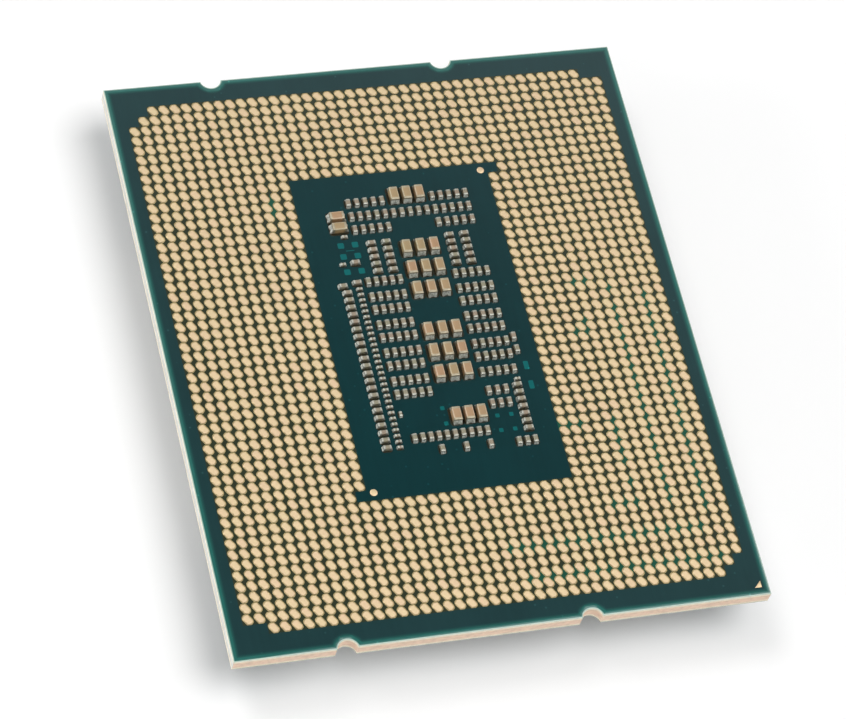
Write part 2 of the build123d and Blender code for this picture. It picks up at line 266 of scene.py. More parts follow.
class Nodes:
    """A node tree as it is put together."""

    def __init__(self, tree):
        self.tree = tree
        tree.nodes.clear()

    def add(self, kind, sockets=(), stops=(), **settings):
        """Adds one node: its settings, its sockets' constants or links, its ramp's stops."""
        made = self.tree.nodes.new("ShaderNode" + kind)
        for key, value in settings.items():
            setattr(made, key, value)
        for key, value in dict(sockets).items():
            if isinstance(value, bpy.types.NodeSocket):
                self.tree.links.new(value, made.inputs[key])
            else:
                made.inputs[key].default_value = value
        for index, (position, tone) in enumerate(stops):
            elements = made.color_ramp.elements
            element = elements[index] if index < 2 else elements.new(position)
            element.position = position
            element.color = tone
        return made

    def seen(self, rays):
        """One for what the camera sees, also in a mirror or through glass, else nothing."""
        found = rays["Is Camera Ray"]
        for other in ("Is Glossy Ray", "Is Transmission Ray"):
            found = self.add("Math", {0: found, 1: rays[other]}, operation="MAXIMUM").outputs[0]
        return found


class Finish(Nodes):
    """A material as it is put together: its nodes, its shader and its object coordinates."""

    def __init__(self, name, sockets):
        self.material = bpy.data.materials.new(name)
        self.material.use_nodes = True
        super().__init__(self.material.node_tree)
        self.place = self.add("TexCoord").outputs["Object"]
        self.shader = self.add("BsdfPrincipled", sockets)
        self.output = self.add("OutputMaterial", {"Surface": self.shader.outputs["BSDF"]})

    def drive(self, socket, value):
        """Links a value to one of the shader's sockets."""
        self.tree.links.new(value, self.shader.inputs[socket])

    def mottle(self, grain, shades, detail=2.0, stretch=(1, 1, 1)):
        """A soft pattern with patches of about the given size that runs through the shades."""
        place = self.add("Mapping", {"Vector": self.place, "Scale": stretch}).outputs[0]
        noise = self.add("TexNoise", {"Vector": place, "Scale": 1 / grain, "Detail": detail})
        step = (NOISE_HIGH - NOISE_LOW) / (len(shades) - 1)
        stops = [(NOISE_LOW + step * index, tone) for index, tone in enumerate(shades)]
        return self.add("ValToRGB", {"Fac": noise.outputs["Fac"]}, stops).outputs["Color"]

    def coated(self, tone, *coats):
        """A tone under one coat or more, each given with how much of it shows."""
        for share, coat in coats:
            sockets = {"Factor": share, MIX_A: tone, MIX_B: coat}
            tone = self.add("Mix", sockets, data_type="RGBA").outputs[MIX_RESULT]
        return tone

    def relief(self, grain, depth, detail=2.0, stretch=(1, 1, 1)):
        """A bumpy surface with grains of the given size and depth."""
        place = self.add("Mapping", {"Vector": self.place, "Scale": stretch}).outputs[0]
        noise = self.add("TexNoise", {"Vector": place, "Scale": 1 / grain, "Detail": detail})
        sockets = {"Height": noise.outputs["Fac"], "Distance": depth, "Strength": 1.0}
        self.drive("Normal", self.add("Bump", sockets).outputs["Normal"])


def tinted(base, red, green, blue):
    """A colour with each channel taken times a factor."""
    return [base[0] * red, base[1] * green, base[2] * blue, 1.0]


def shade(base, factor):
    """A colour made lighter or darker."""
    return [min(channel, 1.0) for channel in tinted(base, factor, factor, factor)]


def edge_fade(made, start, end):
    """One near the board's cut edge and its notches, fading to nothing further in."""
    across = made.add("SeparateXYZ", {0: made.place}).outputs
    wide, long = (
        made.add("Math", {0: across[axis]}, operation="ABSOLUTE").outputs[0] for axis in "XY"
    )
    gaps = [
        made.add("Math", {0: edge, 1: place}, operation="SUBTRACT").outputs[0]
        for edge, place in ((BOARD_HIGH.x, wide), (BOARD_HIGH.y, long))
    ]
    folded = made.add("CombineXYZ", {"X": across["X"], "Y": long, "Z": 0.0}).outputs[0]
    for x in NOTCH_MIDDLES:
        ends = {0: folded, 1: (x, BOARD_HIGH.y + NOTCH_OUTSIDE, 0)}
        away = made.add("VectorMath", ends, operation="DISTANCE").outputs["Value"]
        gaps.append(made.add("Math", {0: away, 1: NOTCH_RADIUS}, operation="SUBTRACT").outputs[0])
    nearest = gaps[0]
    for gap in gaps[1:]:
        nearest = made.add("Math", {0: nearest, 1: gap}, operation="MINIMUM").outputs[0]
    ends = {0: nearest, 1: start, 2: end, 3: 1.0, 4: 0.0}
    return made.add("MapRange", ends, interpolation_type="SMOOTHSTEP").outputs[0]


def solder_mask(name, base, clear=None, lip=None):
    """Liquid epoxy solder mask, curtain coated and cured: satin, with a faint orange peel,
    drawn-out streaks from the coating and the dots of the filled vias below it. Where it
    runs out over bare laminate near the cut edge, it turns to the clear tone, and the very
    lip is painted pale: a painted highlight along the cut edge."""
    made = Finish(name, {"Roughness": 0.15, "IOR": 1.5})
    drawn = [shade(base, 0.93), base, shade(base, 1.08)]
    streaks = made.mottle(0.35 * MM, drawn, 3.0, (1, 0.08, 1))
    clouds = made.mottle(4 * MM, [shade(base, 0.88), shade(base, 1.10)])
    vias = made.add("TexVoronoi", {"Vector": made.place, "Scale": 1 / VIA_PITCH, "Randomness": 1.0})
    ends = {0: vias.outputs["Distance"], 1: VIA_DOT[0], 2: VIA_DOT[1], 3: VIA_SHOWS, 4: 0.0}
    dots = made.add("MapRange", ends).outputs[0]
    coats = [(0.5, clouds), (dots, shade(base, VIA_TONE))]
    for reach, rim in ((CLEAR_RIM, clear), (LIP_HIGHLIGHT, lip)):
        if rim:
            coats.append((edge_fade(made, *reach), rim))
    made.drive("Base Color", made.coated(streaks, *coats))
    made.relief(0.25 * MM, 0.0012 * MM)
    return made.material


def hard_gold(name, base):
    """Hard gold over nickel on copper, plated: a satin metal whose tone drifts a little
    from land to land and more faintly within a land."""
    made = Finish(name, {"Metallic": 1.0, "Roughness": 0.5})
    sites = made.add("VectorMath", {0: made.place, 1: (LAND_PITCH,) * 3}, operation="SNAP")
    draw = made.add("TexWhiteNoise", {"Vector": sites.outputs[0]}, noise_dimensions="3D")
    pinker, greener = tinted(base, 1, 0.94, 1), tinted(base, 0.96, 1, 0.96)
    stops = [(0.0, pinker), (0.35, base), (0.7, shade(base, 1.05)), (1.0, greener)]
    site_tone = made.add("ValToRGB", {"Fac": draw.outputs["Value"]}, stops).outputs["Color"]
    drift = [shade(pinker, 1.08), shade(base, 0.94), shade(greener, 1.10)]
    within = made.mottle(0.22 * MM, drift, 3.0)
    made.drive("Base Color", made.coated(site_tone, (0.45, within)))
    made.relief(0.05 * MM, 0.0008 * MM)
    return made.material


def fired_ceramic(name, base):
    """Barium titanate ceramic, fired and tumbled: matte tan with fine pores; each chip has
    its own tone."""
    made = Finish(name, {"Roughness": 0.55, "IOR": 1.6})
    tone = made.add("Attribute", attribute_name="tone").outputs["Fac"]
    pinker, greener = tinted(base, 1.10, 0.93, 0.97), tinted(base, 0.88, 1.0, 0.93)
    stops = [(0.0, pinker), (0.5, base), (1.0, greener)]
    chip_tone = made.add("ValToRGB", {"Fac": tone}, stops).outputs["Color"]
    pores = made.mottle(0.06 * MM, [shade(base, 0.86), base, shade(base, 1.1)], 4.0)
    made.drive("Base Color", made.coated(chip_tone, (0.3, pores)))
    made.relief(0.03 * MM, 0.0015 * MM)
    return made.material


def routed_laminate(name, base):
    """Glass cloth in epoxy, routed: the cut shows salmon resin with pale fibre ends. The long
    sides, which face the lamps, are painted a pale grey white: painted light."""
    made = Finish(name, {"Roughness": 0.75, "IOR": 1.55})
    tones = [shade(base, 0.82), base, shade(base, 1.14)]
    resin = made.mottle(0.35 * MM, tones, 4.0, (1, 1, 2))
    tones = [shade(base, 0.8), linear("#E6D6C4")]
    fibres = made.mottle(0.05 * MM, tones, 2.0, (1, 1, 4))
    tones = [linear(text) for text in ("#C6C3B8", "#D6D7D2", "#E2E4E1")]
    side_light_tones = made.mottle(0.3 * MM, tones, 4.0, (1, 0.3, 2))
    tones = [linear(text) for text in ("#BDB7A8", "#DEDFDC")]
    plies = made.mottle(0.11 * MM, tones, 2.0, (1, 0.06, 1))
    across = made.add("SeparateXYZ", {0: made.place}).outputs["X"]
    wide = made.add("Math", {0: across}, operation="ABSOLUTE").outputs[0]
    ends = {0: wide, 1: BOARD_HIGH.x - LONG_SIDE_SKIN}
    side = made.add("Math", ends, operation="GREATER_THAN").outputs[0]
    # The long sides' pale grey white is painted light, as the lamps at the sides light them.
    lit_long_side = made.coated(side_light_tones, (0.35, plies))
    made.drive("Base Color", made.coated(resin, (0.35, fibres), (side, lit_long_side)))
    made.relief(0.08 * MM, 0.012 * MM, 3.0)
    return made.material


def electroless_nickel(name, base):
    """Electroless nickel over copper strip, stamped: a soft grey metal that keeps the fine
    lines of the rolled strip, with light handling marks. The rolled lines are a few
    hundredths of a millimetre wide and are drawn three times coarser, so that they show."""
    made = Finish(name, {"Metallic": 1.0, "Roughness": 0.36})
    lines = [shade(base, 0.88), base, shade(base, 1.06)]
    rolled = made.mottle(0.1 * MM, lines, 4.0, (1, 0.02, 1))
    clouds = made.mottle(7 * MM, [shade(base, 0.95), shade(base, 1.03)], 3.0)
    made.drive("Base Color", made.coated(rolled, (0.5, clouds)))
    scuffs = made.mottle(0.5 * MM, [linear("#8C8C8C"), linear("#A6A6A6")], 5.0, (1, 0.08, 1))
    made.drive("Roughness", scuffs)
    made.relief(0.1 * MM, 0.0012 * MM, 4.0, (1, 0.03, 1))
    return made.material


# Finishes with one pattern and one relief: the shader's sockets; the pattern's patch in mm,
# its tones as colours or as factors of the base colour, and its detail; the relief's grain
# and depth in mm.
PLAIN_FINISHES = {
    # Resin film at the bottom of the wells, desmeared: matte olive brown.
    "bare_dielectric": (
        {"Roughness": 0.7, "IOR": 1.55}, (0.2, ("#A08F62", "#C2B27E"), 2.0), (0.05, 0.001),
    ),
    # Matte tin over nickel, barrel plated and oven aged: pale grey, slightly uneven, and as
    # much a scattering skin of oxide as a metal.
    "matte_tin": (
        {"Metallic": 0.7, "Roughness": 0.5, "IOR": 1.5},
        (0.08, (0.8, 1, 1.1), 3.0), (0.05, 0.002),
    ),
    # Reflowed lead-free solder, frosted by its grains and a skin of flux, which scatters
    # more light than the metal mirrors.
    "frosted_solder": (
        {"Metallic": 0.3, "Roughness": 0.4, "IOR": 1.5},
        (0.11, (0.55, 1, 1.3), 3.0), (0.06, 0.004),
    ),
    # A thin film round the joints: dark brown and glossy, with paler patches. It is painted
    # shade for the gaps round and between the chips.
    "dried_flux": (
        {"Roughness": 0.35, "IOR": 1.5, "Specular IOR Level": 0.2},
        (0.12, (0.8, 1, "#26322A"), 3.0), (0.08, 0.002),
    ),
    # Filled epoxy build-up film, cut with the core: pale mint cream, fine and matte.
    "cut_film": (
        {"Roughness": 0.6, "IOR": 1.55}, (0.3, (0.9, 1, 1.1), 3.0), (0.06, 0.004),
    ),
    # Electroplated copper, micro-etched for the mask: matte pinkish brown metal.
    "etched_copper": (
        {"Metallic": 1.0, "Roughness": 0.45}, (0.2, ("#B87350", "#D08C66"), 2.0), (0.03, 0.001),
    ),
    # Carbon-filled silicone adhesive, squeezed out in a bead: nearly black, soft sheen.
    "filled_silicone": (
        {"Roughness": 0.5, "IOR": 1.41}, (0.8, ("#17181A", "#26282B"), 2.0), (0.5, 0.01),
    ),
    # Indium preform, reflowed under the lid: soft, dull white metal.
    "reflowed_indium": (
        {"Metallic": 1.0, "Roughness": 0.42}, (0.6, ("#B4B6B8", "#D3D5D6"), 2.0), (0.3, 0.004),
    ),
    # Thinned and polished silicon: dark, glassy, blue grey.
    "polished_silicon": (
        {"Roughness": 0.12, "IOR": 3.4}, (2, ("#2E3138", "#3A3E46"), 2.0), (0.4, 0.0004),
    ),
    # Silica-filled epoxy that wicked under the die: dark, smooth, slightly uneven.
    "filled_epoxy": (
        {"Roughness": 0.35, "IOR": 1.52}, (0.7, ("#1D1A17", "#2C2723"), 2.0), (0.4, 0.006),
    ),
}


def plain_finish(name, base=None, kind=None):
    """A finish of the table, under its own name or, with its kind given, under another."""
    sockets, (patch, tones, detail), (grain, depth) = PLAIN_FINISHES[kind or name]
    made = Finish(name, sockets)
    shades = [linear(tone) if isinstance(tone, str) else shade(base, tone) for tone in tones]
    made.drive("Base Color", made.mottle(patch * MM, shades, detail))
    made.relief(grain * MM, depth * MM)
    return made.material


def seamless_floor(name, base):
    """Matte pale floor: white where the camera sees it lit, and it keeps the shadow."""
    made = Finish(name, {"Base Color": base, "Roughness": 0.9, "Specular IOR Level": 0.0})
    seen = made.seen(made.add("LightPath").outputs)
    lift = made.add("Math", {0: seen, 1: FLOOR_LIFT}, operation="MULTIPLY")
    glow = made.add("Emission", {"Strength": lift.outputs[0]})
    both = made.add("AddShader", {0: made.shader.outputs["BSDF"], 1: glow.outputs[0]})
    made.tree.links.new(both.outputs[0], made.output.inputs["Surface"])
    return made.material


def shared(maker, name, *values):
    """A material made on its first use and found again by name after that."""
    return bpy.data.materials.get(name) or maker(name, *values)


# ------------------------------------------------------------------ shapes
def merged_copy(node):
    """A copy of a CAD node as one joined surface with whole flat faces, without the
    normals that were stored with it."""
    mesh = frame["nodes"][node].data.copy()
    stored = mesh.attributes.get("custom_normal")
    if stored:
        mesh.attributes.remove(stored)
    bm = bmesh.new()
    bm.from_mesh(mesh)
    bpy.data.meshes.remove(mesh)
    bmesh.ops.remove_doubles(bm, verts=bm.verts, dist=WELD)
    bmesh.ops.dissolve_limit(bm, angle_limit=FLAT_ANGLE, verts=bm.verts, edges=bm.edges)
    return bm


def islands(node):
    """Middle and size of each separate solid in a CAD node, from the upper left on."""
    bm = bmesh.new()
    bm.from_mesh(frame["nodes"][node].data)
    bmesh.ops.remove_doubles(bm, verts=bm.verts, dist=WELD)
    unseen = set(bm.verts)
    found = []
    while unseen:
        front = [unseen.pop()]
        members = list(front)
        while front:
            vert = front.pop()
            near = {edge.other_vert(vert) for edge in vert.link_edges} & unseen
            unseen -= near
            front += near
            members += near
        low = Vector(map(min, zip(*(v.co for v in members))))
        high = Vector(map(max, zip(*(v.co for v in members))))
        found.append(((low + high) / 2, high - low))
    bm.free()
    return sorted(
        found,
        key=lambda item: (round(-item[0].y, PLACE_DECIMALS), round(item[0].x, PLACE_DECIMALS)),
    )


def as_mesh(bm, toned=False):
    """Ends a bmesh as a mesh; a toned one gets the attribute that holds a chip's tone."""
    mesh = bpy.data.meshes.new("template")
    bm.to_mesh(mesh)
    bm.free()
    if toned:
        mesh.attributes.new("tone", "FLOAT", "POINT")
    return mesh


def join(bm, part):
    """Adds a second bmesh to the first and ends it."""
    mesh = as_mesh(part)
    bm.from_mesh(mesh)
    bpy.data.meshes.remove(mesh)


def stamp(template, places, tones=None):
    """Copies of one small mesh at each place, joined in one bmesh."""
    bm = bmesh.new()
    for index, place in enumerate(places):
        copy = template.copy()
        copy.transform(Matrix.Translation(place))
        if tones:
            tone = copy.attributes["tone"].data
            tone.foreach_set("value", [tones[index]] * len(tone))
        bm.from_mesh(copy)
        bpy.data.meshes.remove(copy)
    bpy.data.meshes.remove(template)
    return bm


def only(kind, geom):
    """The vertices, edges or faces among what an operator made."""
    return [item for item in geom if isinstance(item, kind)]


def shift(bm, geom, height):
    """Moves the vertices among some geometry straight up, or down if negative."""
    verts = only(bmesh.types.BMVert, geom)
    bmesh.ops.translate(bm, vec=(0, 0, height), verts=verts)


def square_cell(bm, half):
    """Adds one flat square round the origin; returns its vertices."""
    return bmesh.ops.create_grid(bm, x_segments=1, y_segments=1, size=half)["verts"]


def edges_of(faces):
    """The edges round the faces, each once and always in the same order."""
    return list(dict.fromkeys(edge for face in faces for edge in face.edges))


def edges_along(faces, axis):
    """The edges of the faces that run along an axis (0, 1 or 2)."""
    return [e for e in edges_of(faces) if abs(e.verts[0].co[axis] - e.verts[1].co[axis]) > WELD]


def sharp_edges(bm):
    """The edges where a surface turns sharply."""
    return [e for e in bm.edges if e.is_manifold and e.calc_face_angle() > SHARP_ANGLE]


def round_edges(bm, edges, width, segments=2):
    """Rounds the given edges and leaves each face's material as it was."""
    bmesh.ops.bevel(
        bm, geom=edges, offset=width, offset_type="OFFSET", segments=segments,
        profile=0.5, affect="EDGES", material=-1, clamp_overlap=True,
    )


def cut_corners(bm, corners, amount, segments=1):
    """Cuts or rounds a flat face's corners."""
    bmesh.ops.bevel(
        bm, geom=corners, offset=amount, offset_type="OFFSET", segments=segments,
        profile=0.5, affect="VERTICES", material=-1, clamp_overlap=True,
    )


def block(bm, low, high, slot):
    """A box between two corners; returns its faces."""
    made = bmesh.ops.create_cube(bm, size=1)["verts"]
    low, high = Vector(low), Vector(high)
    bmesh.ops.scale(bm, vec=high - low, verts=made)
    bmesh.ops.translate(bm, vec=(low + high) / 2, verts=made)
    faces = list(dict.fromkeys(face for vert in made for face in vert.link_faces))
    for face in faces:
        face.material_index = slot
    return faces


def piece(name, bm, finishes, replaced=()):
    """Ends a bmesh as a named piece that rides on the package and stands for CAD nodes."""
    for face in bm.faces:
        face.smooth = True
    mesh = bpy.data.meshes.new(name)
    bm.to_mesh(mesh)
    bm.free()
    mesh.set_sharp_from_angle(angle=SHARP_ANGLE)
    for finish in finishes:
        mesh.materials.append(finish)
    made = bpy.data.objects.new(name, mesh)
    bpy.context.scene.collection.objects.link(made)
    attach(made, "root")
    if replaced:
        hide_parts(*replaced)


def rounded_piece(name, node, width, finish):
    """A CAD node in its own shape, with its sharp edges rounded."""
    bm = merged_copy(node)
    round_edges(bm, sharp_edges(bm), width)
    piece(name, bm, [finish], [node])


def finish_nodes(finishes):
    """Gives CAD nodes that keep their own shape a finish each."""
    for node, finish in finishes.items():
        frame["nodes"][node].material_slots[0].material = finish


# ------------------------------------------------------------------ lands and their wells
SLOT_WINDOW, SLOT_MARGIN, SLOT_BETWEEN, SLOT_CLEAR, SLOT_WELL, SLOT_BARE = range(6)


def site(place):
    """Column from the left and row from the bottom of the grid site at a place."""
    return round(place.x / LAND_PITCH + MIDDLE_COLUMN), round(place.y / LAND_PITCH + MIDDLE_ROW)


def land_kind(place):
    """The kind of land at a site: narrow ones come in repeating groups to the left and below,
    short ones above the window and beside it."""
    column, row = site(place)
    row = GRID_ROWS - 1 - row
    if any(column in columns and row in rows for columns, rows in SHORT_FIELDS):
        return "short"
    if row in UPPER_ROWS:
        narrow = column in UPPER_COLUMNS and column % 4 in NARROW_UPPER[row % 5]
    elif row in LEFT_ROWS:
        narrow = column in NARROW_LEFT[row % 2]
    else:
        narrow = row in LOWER_ROWS and (column % 2 == 1 if row % 2 else column % 5 != 4)
    return "narrow" if narrow else "wide"


def land_face(contacts, grown, kind):
    """A land's outline as one flat face: a block with two corners cut away, the other two
    chamfered and all of them rounded."""
    bm = bmesh.new()
    square_cell(bm, contacts.half_width + grown)
    bmesh.ops.scale(bm, vec=(CUT_SLOPE, 1, 1), verts=bm.verts)
    cut_corners(bm, [v for v in bm.verts if v.co.x * v.co.y > 0], contacts.cut_corner)
    bmesh.ops.scale(bm, vec=(1 / CUT_SLOPE, 1, 1), verts=bm.verts)
    tips = sorted(bm.verts, key=lambda v: v.co.x * v.co.y)[:2]
    cut_corners(bm, tips, contacts.tip)
    cut_corners(bm, list(bm.verts), contacts.round_corner)
    bmesh.ops.scale(bm, vec=(*LAND_KINDS[kind], 1), verts=bm.verts)
    return bm


def land_template(contacts, kind):
    """One plated land: it stands on the film in its well, rounded at the rim and crowned."""
    bm = land_face(contacts, 0, kind)
    bottom = COPPER_TOP_Z + WELL_FILM
    shift(bm, bm.verts, bottom)
    base = list(bm.faces)
    grown = bmesh.ops.extrude_face_region(bm, geom=base, use_keep_orig=True)["geom"]
    bmesh.ops.reverse_faces(bm, faces=base)
    shift(bm, grown, LAND_PLANE_Z + contacts.stand - bottom)
    bmesh.ops.recalc_face_normals(bm, faces=bm.faces)
    top = only(bmesh.types.BMFace, grown)[0]
    round_edges(bm, list(top.edges), contacts.edge, 1)
    crest = max(bm.faces, key=lambda face: face.calc_center_median().z)
    shift(bm, bmesh.ops.poke(bm, faces=[crest])["verts"], contacts.crown)
    return as_mesh(bm)


def well_template(contacts, kind):
    """One grid site of the mask: a square with a shallow well for its land."""
    bm = land_face(contacts, contacts.well_gap, kind)
    floor = list(bm.faces)
    rim = list(bm.edges)
    square = square_cell(bm, LAND_PITCH / 2)
    lid = [face for face in bm.faces if face not in floor]
    border = list(dict.fromkeys(edge for vert in square for edge in vert.link_edges))
    bmesh.ops.delete(bm, geom=lid, context="FACES_ONLY")
    bmesh.ops.triangle_fill(bm, use_beauty=True, normal=(0, 0, 1), edges=rim + border)
    shift(bm, bm.verts, LAND_PLANE_Z)
    sunk = bmesh.ops.extrude_face_region(bm, geom=floor)["geom"]
    bmesh.ops.delete(bm, geom=floor, context="FACES_ONLY")
    shift(bm, sunk, COPPER_TOP_Z + WELL_FILM - LAND_PLANE_Z)
    for face in bm.faces:
        below = face.calc_center_median().z < LAND_PLANE_Z - LEVEL
        face.material_index = SLOT_WELL if below else SLOT_BETWEEN
    return as_mesh(bm)


def land_sites():
    """The middle of every land, field by field."""
    return {
        field: [Vector((middle.x, middle.y, 0)) for middle, _ in islands(f"contact_lands_{field}")]
        for field in LAND_FIELDS
    }


def stamp_lands(bm, template, contacts, middles):
    """Stamps the land or well of each kind at the middles that have that kind."""
    for kind in LAND_KINDS:
        places = [middle for middle in middles if land_kind(middle) == kind]
        join(bm, stamp(template(contacts, kind), places))


def outline(bm, node, z, rounded=0):
    """Adds the outline of a board layer as loose edges at the given level."""
    layer = merged_copy(node)
    top = max(
        layer.faces,
        key=lambda f: (round(f.calc_center_median().z, LEVEL_DECIMALS), f.calc_area()),
    )
    bmesh.ops.delete(layer, geom=[f for f in layer.faces if f is not top], context="FACES")
    if rounded:
        cut_corners(layer, list(layer.verts), rounded, 3)
        bmesh.ops.remove_doubles(layer, verts=layer.verts, dist=COPPER_WELD)
    bmesh.ops.delete(layer, geom=list(layer.faces), context="FACES_ONLY")
    for vert in layer.verts:
        vert.co.z = z
    before = set(bm.edges)
    join(bm, layer)
    return [edge for edge in bm.edges if edge not in before]


def fill(bm, edges, slot):
    """Fills the flat ring between loops, or one loop, with faces of a material slot."""
    before = set(bm.faces)
    bmesh.ops.triangle_fill(bm, use_beauty=True, normal=(0, 0, 1), edges=edges)
    for face in bm.faces:
        if face not in before:
            face.material_index = slot


def drop(bm, edges, depth, slot):
    """Walls straight down from a loop; returns the loop at their foot."""
    grown = bmesh.ops.extrude_edge_only(bm, edges=edges)["geom"]
    shift(bm, grown, -depth)
    for wall in only(bmesh.types.BMFace, grown):
        wall.material_index = slot
    low = set(only(bmesh.types.BMVert, grown))
    return [edge for edge in only(bmesh.types.BMEdge, grown) if set(edge.verts) <= low]


def build_mask(contacts, board):
    """The land-side mask: wells in the land field, and the margin out to the cut edge."""
    lands = [middle for middles in land_sites().values() for middle in middles]
    bm = bmesh.new()
    stamp_lands(bm, well_template, contacts, lands)
    taken = {site(middle) for middle in lands}
    free = [
        Vector(((column - MIDDLE_COLUMN) * LAND_PITCH, (row - MIDDLE_ROW) * LAND_PITCH, 0))
        for column in range(GRID_COLUMNS) for row in range(GRID_ROWS) if (column, row) not in taken
    ]
    for slot in (SLOT_WINDOW, SLOT_MARGIN):
        plain = bmesh.new()
        square_cell(plain, LAND_PITCH / 2)
        shift(plain, plain.verts, LAND_PLANE_Z)
        for face in plain.faces:
            face.material_index = slot
        cells = [cell for cell in free if (abs(cell.y) > CORNER_Y) == (slot == SLOT_MARGIN)]
        join(bm, stamp(as_mesh(plain), cells))
    bmesh.ops.remove_doubles(bm, verts=bm.verts, dist=WELD)
    clear_runs(bm)
    inner = [edge for edge in bm.edges if edge.is_boundary]
    copper_edge = outline(bm, "land_side_copper_plane", LAND_PLANE_Z, COPPER_ROUNDING)
    fill(bm, inner + copper_edge, SLOT_MARGIN)
    step = drop(bm, copper_edge, board.mask_sag, SLOT_CLEAR)
    cut_edge = outline(bm, "land_side_buildup", LAND_PLANE_Z - board.mask_sag)
    fill(bm, step + cut_edge, SLOT_CLEAR)
    foot = drop(bm, cut_edge, LAND_PLANE_Z - board.mask_sag - BOARD_HIGH.z, SLOT_CLEAR)
    copper_foot = outline(bm, "land_side_copper_plane", BOARD_HIGH.z, COPPER_ROUNDING)
    fill(bm, foot + copper_foot, SLOT_CLEAR)
    roof = drop(bm, copper_foot, BOARD_HIGH.z - COPPER_TOP_Z, SLOT_WELL)
    fill(bm, roof, SLOT_WELL)
    bmesh.ops.recalc_face_normals(bm, faces=bm.faces)
    round_edges(bm, [edge for edge in cut_edge if edge.is_valid], board.edge)
    return bm


def clear_runs(bm):
    """Gives the faces at the cleared grid corners the mask's clear finish."""
    wanted = {
        (start[0] + step[0] * index, start[1] + step[1] * index)
        for start, step, count in CLEARED_RUNS for index in range(count)
    }
    for vert in bm.verts:
        corner = (vert.co.x / LAND_PITCH, vert.co.y / LAND_PITCH)
        whole = tuple(map(round, corner))
        if whole in wanted and math.dist(corner, whole) < CORNER_SLACK:
            for face in vert.link_faces:
                if face.material_index == SLOT_BETWEEN:
                    face.material_index = SLOT_BARE


# ------------------------------------------------------------------ capacitors
SLOT_CERAMIC, SLOT_EDGE_HIGHLIGHT, SLOT_TIN, SLOT_SOLDER, SLOT_SHADE_FILM = range(5)
SHADE_FILM = 0.003 * MM        # thickness of the dark film of painted shade
SHADE_FILM_ROUNDING = 0.2           # rounding of the film's corners, in widths of the film
HIGHLIGHT_FROM = 0.8            # faces above this, in heights of the chip, get the paler tan of a painted edge highlight
HIGHLIGHT_SLOPE = 0.95          # where their normals rise less than this
# The solder at an end: how far it reaches under the band, in its own reaches; half its width,
# in widths of the chip; and the heights of its toe, in heights of the chip.
FOOT_UNDER, FOOT_HALF, FOOT_TOE = 0.3, 0.47, 0.08
# On the large chips it sags along its middle, in parts of its reach and climb. Further from
# the middle than a part of the width it stands out in a lump, in reaches, and up, in heights
# of the chip. Nearer the middle it is drawn back, in reaches.
FOOT_SAG, LUMP_FROM, LUMP_OUT, LUMP_UP, DRAWN_BACK = 0.06, 0.25, 0.15, 0.05, 0.2
LARGE_BODY = 0.92             # a large chip's body without solder, in lengths of the whole
LARGE_BULGE = 1.05            # a large chip is this much wider than its plain block
LARGE_CLIMB = 0.93            # how high the solder climbs a large chip, in heights of it
LARGE_OVERLAP = 0.1           # how much of each band covers the ceramic, in bands
LARGE_INSET = (0.01 * MM, 0.006 * MM)   # the ceramic is this much narrower and lower
LARGE_SHADE_FILM = (2.8, 1.57)      # the film of painted shade: reaches of solder past the body, and body widths
TINY_LENGTH = 0.5 * MM        # chips shorter than this are mostly end band
SMALL_BODY = 0.94             # a small chip's body without solder, in lengths of the whole
SMALL_BAND, TINY_BAND = 0.24, 0.36      # width of an end band, in lengths of the body
SMALL_REACH = 0.12            # reach of a small chip's solder, in lengths of its body
SMALL_CLIMB = 0.72            # how high the solder climbs a small chip, in heights of it
SMALL_OVERLAP = 0.2           # as for the large chips
SMALL_INSET = (0.94, 0.97)    # width and height of the ceramic, in those of the chip
# Rounding of a small chip's ceramic, of its bands and of its end faces, in widths.
SMALL_EDGE, SMALL_BAND_EDGE, SMALL_RIM = 0.14, 0.13, 0.2
SMALL_SHADE_FILM = (2.6, 1.75)      # as for the large chips
# How far the chips of each kind sit from the middle of their pads, across and up the board,
# in mm.
SEATED = {
    "large_upright": (-0.035, 0.08),
    "large_lying": (0.02, 0.0),
    "small_upright": (-0.03, 0.015),
    "small_lying": (0.02, 0.04),
    "left_column": (0.045, -0.02),
    "tiny": (0.0, -0.03),
}


def seat(node, upright):
    """The offset of a node's chips from their pads."""
    kind = next((kind for kind in ("left_column", "tiny") if kind in node), None)
    if not kind:
        kind = f"{'large' if 'large' in node else 'small'}_{'upright' if upright else 'lying'}"
    across, up = SEATED[kind]
    return Vector((across * MM, up * MM, LAND_PLANE_Z))


def ceramic_body(bm, extent, edge, segments):
    """The fired block between the bands, its long edges tumbled round. It comes first in
    its mesh."""
    length, width, height = extent
    faces = block(bm, (-length / 2, -width / 2, 0), (length / 2, width / 2, height), SLOT_CERAMIC)
    top = [e for e in edges_along(faces, 0) if e.verts[0].co.z > height / 2]
    round_edges(bm, top, edge, segments)
    # The rounded faces along the top get the edge finish: a painted highlight where they catch the
    # light.
    for face in bm.faces:
        high = face.calc_center_median().z > height * HIGHLIGHT_FROM
        if high and abs(face.normal.z) < HIGHLIGHT_SLOPE:
            face.material_index = SLOT_EDGE_HIGHLIGHT


def end_band(bm, side, extent, band, edge, rim, segments):
    """The tinned cap on one end, wrapped over the ceramic: its long edges rounded like the
    ceramic's, its end face by a smaller rim. The segments are those of the two."""
    length, width, height = extent
    outer, inner = side * length / 2, side * (length / 2 - band)
    low = (min(outer, inner), -width / 2, 0)
    faces = block(bm, low, (max(outer, inner), width / 2, height), SLOT_TIN)
    along = [e for e in edges_along(faces, 0) if e.verts[0].co.z > height / 2]
    round_edges(bm, along, edge, segments[0])
    end = [
        e for e in bm.edges
        if all(abs(v.co.x - outer) < WELD for v in e.verts) and any(v.co.z > WELD for v in e.verts)
    ]
    round_edges(bm, end, rim, segments[1])


